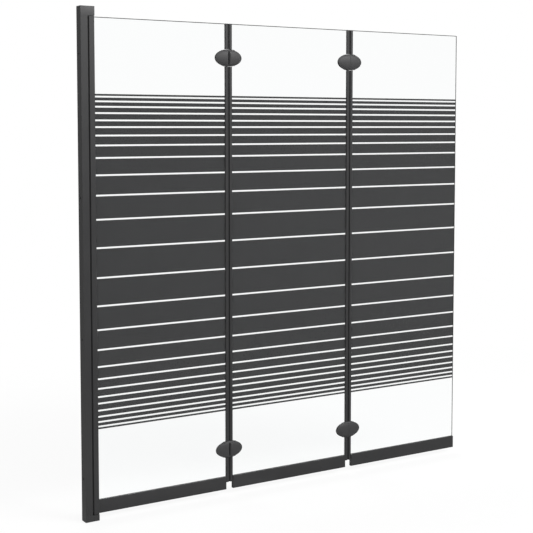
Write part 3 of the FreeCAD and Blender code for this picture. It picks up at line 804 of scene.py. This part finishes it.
# Wall side.
wallValues = {
    "wall": 1.6 * mm, "corner": 0.8 * mm,
    "portPlace": (4.2 * mm, 9.3 * mm), "portRadius": 3.2 * mm, "screwHole": 1.9 * mm,
    "wallHole": 2.75 * mm, "holeInset": 100 * mm, "holeCount": 4,
    "axis": 30 * mm, "pinHole": 3 * mm, "pinDepth": 12 * mm,
    "headHole": 3.5 * mm, "headDepth": 2.5 * mm, "capCorner": 0.9 * mm, "capSeam": 0.3 * mm,
    "head": 3.2 * mm, "headGap": 0.3 * mm, "headHeight": 2.2 * mm, "headSoft": 0.4 * mm,
    "shankShare": 0.75,    # of the head lies outside the end of the shank
    "bottomShank": 28.7 * mm, "topShank": 35.6 * mm,
    "socket": 1.4 * mm, "socketDepth": 1.1 * mm,
    "turnBack": 5.1 * mm, "turnFront": 10 * mm,     # the flat sides of the turning profile, from its axis
    "turnRound": 10.5 * mm, "turnBore": 5.2 * mm, "turnCorner": 1.5 * mm,
    "slot": 3.2 * mm, "gasketWall": 1.2 * mm, "gasketSoft": 0.35 * mm,
    "beyond": 2 * mm,
}


def portPlaces(v):
    return [(v["portPlace"][0], side * v["portPlace"][1]) for side in (-1, 1)]


def makeWallProfile(v):
    low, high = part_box("wall_profile")
    far = v["beyond"]
    middle, tall = (low[2] + high[2]) / 2, high[2] - low[2]
    profile = startBlock("wall_profile_shown", low, high)
    roundEdges(profile, v["corner"], 3, lambda a, b: abs(a.z - b.z) > mm and min(a.x, b.x) > mm)
    channel = startBlock("channel", (v["wall"], low[1] + v["wall"], low[2] - far),
                         (high[0] + far, high[1] - v["wall"], high[2] + far))
    carve(profile, channel)
    for x, y in portPlaces(v):
        carve(profile, startRod("port", (x, y, middle), v["portRadius"], tall, steps=40), "UNION")
    for x, y in portPlaces(v):
        carve(profile, startRod("portHole", (x, y, middle), v["screwHole"], tall + far, steps=32))
    step = (tall - 2 * v["holeInset"]) / (v["holeCount"] - 1)
    for number in range(v["holeCount"]):
        place = (0, 0, low[2] + v["holeInset"] + number * step)
        carve(profile, startRod("wallHole", place, v["wallHole"], 2 * (v["wall"] + far), "X", 40))
    smooth(profile)
    finishPiece(profile, "wall_frame", ["wall_profile"], "black_profile")


def makeCap(v, node, inner, way):
    # inner is the face that meets the wall profile, way is 1 for the top cap and -1 for the bottom
    low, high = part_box(node)
    cap = startBlock(node + "_shown", low, high)

    def offSeam(a, b):
        return abs(a.z - inner) + abs(b.z - inner)
    roundEdges(cap, v["capCorner"], 3, lambda a, b: min(a.x, b.x) > mm and offSeam(a, b) > mm
               or abs(a.x - b.x) > mm and abs(a.z - inner) > mm)
    roundEdges(cap, v["capSeam"], 1, lambda a, b: offSeam(a, b) < hair and min(a.x, b.x) > mm)
    carve(cap, startRod("pinHole", (v["axis"], 0, inner), v["pinHole"], 2 * v["pinDepth"], steps=40))
    outer = high[2] if way > 0 else low[2]
    for x, y in portPlaces(v):
        carve(cap, startRod("screwHole", (x, y, inner), v["screwHole"], 4 * (high[2] - low[2]), steps=32))
        carve(cap, startRod("headHole", (x, y, outer), v["headHole"], 2 * v["headDepth"], steps=40))
    smooth(cap)
    finishPiece(cap, "wall_frame", [node], "black_cap")


def makeCapScrews(v):
    screws = []
    for node, way, reach in (("bottom_cap", -1, v["bottomShank"]), ("top_cap", 1, v["topShank"])):
        low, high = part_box(node)
        outer = (high[2] if way > 0 else low[2]) - way * v["headGap"]
        under = outer - way * v["headHeight"] * v["shankShare"]
        end = outer - way * reach
        for x, y in portPlaces(v):
            head = startRod("capScrew", (x, y, outer - way * v["headHeight"] / 2), v["head"], v["headHeight"])
            roundEdges(head, v["headSoft"], 3, lambda a, b: abs(a.z - outer) + abs(b.z - outer) < hair)
            carve(head, startRod("socket", (x, y, outer), v["socket"], 2 * v["socketDepth"], steps=6))
            shank = startRod("shank", (x, y, (under + end) / 2), v["screwHole"], abs(end - under), steps=24)
            carve(head, shank, "UNION")
            screws.append(head)
    whole = join("cap_screws_shown", screws)
    smooth(whole)
    finishPiece(whole, "wall_frame", ["cap_screws"], "steel")


def makePivotProfile(v):
    low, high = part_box("pivot_profile")
    far = v["beyond"]
    middle, tall = (low[2] + high[2]) / 2, high[2] - low[2]
    back, front = v["axis"] - v["turnBack"], v["axis"] + v["turnFront"]
    profile = startBlock("pivot_profile_shown", (back, low[1], low[2]), (front, high[1], high[2]))
    roundEdges(profile, v["turnCorner"], 4, lambda a, b: abs(a.z - b.z) > mm and min(a.x, b.x) > v["axis"])
    carve(profile, startRod("turnRound", (v["axis"], 0, middle), v["turnRound"], tall, steps=96), "UNION")
    carve(profile, startRod("turnBore", (v["axis"], 0, middle), v["turnBore"], tall + far, steps=64))
    carve(profile, startBlock("gasketSlot", (v["axis"], -v["slot"], low[2] - far),
                              (high[0] + far, v["slot"], high[2] + far)))
    smooth(profile)
    finishPiece(profile, "panel_1", ["pivot_profile"], "black_profile")


def makeGasket(v):
    low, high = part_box("glazing_gasket")
    gasket = startBlock("glazing_gasket_shown", low, high)
    roundEdges(gasket, v["gasketSoft"], 3, lambda a, b: abs(a.z - b.z) > mm and min(a.x, b.x) > high[0] - mm)
    carve(gasket, startBlock("glassRoom", (low[0] + v["gasketWall"], low[1] + v["gasketWall"], low[2] - mm),
                             (high[0] + mm, high[1] - v["gasketWall"], high[2] + mm)))
    smooth(gasket)
    finishPiece(gasket, "panel_1", ["glazing_gasket"], "black_rubber")


makeWallProfile(wallValues)
makeCap(wallValues, "bottom_cap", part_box("wall_profile")[0][2], -1)
makeCap(wallValues, "top_cap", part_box("wall_profile")[1][2], 1)
makeCapScrews(wallValues)
makePivotProfile(wallValues)
makeGasket(wallValues)
print("wall side made")

# Drip strips under the rails: soft rubber with a rounded lower edge.
stripValues = {"soft": 1.2 * mm}


def makeDripStrips(v):
    for panel in "123":
        node = "drip_strip_" + panel
        low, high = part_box(node)
        strip = startBlock(node + "_shown", low, high)
        roundEdges(strip, v["soft"], 4, lambda a, b: abs(a.x - b.x) > mm and abs(a.z - low[2]) < hair)
        smooth(strip)
        finishPiece(strip, "panel_" + panel, [node], "black_rubber")


makeDripStrips(stripValues)
print("strips made")
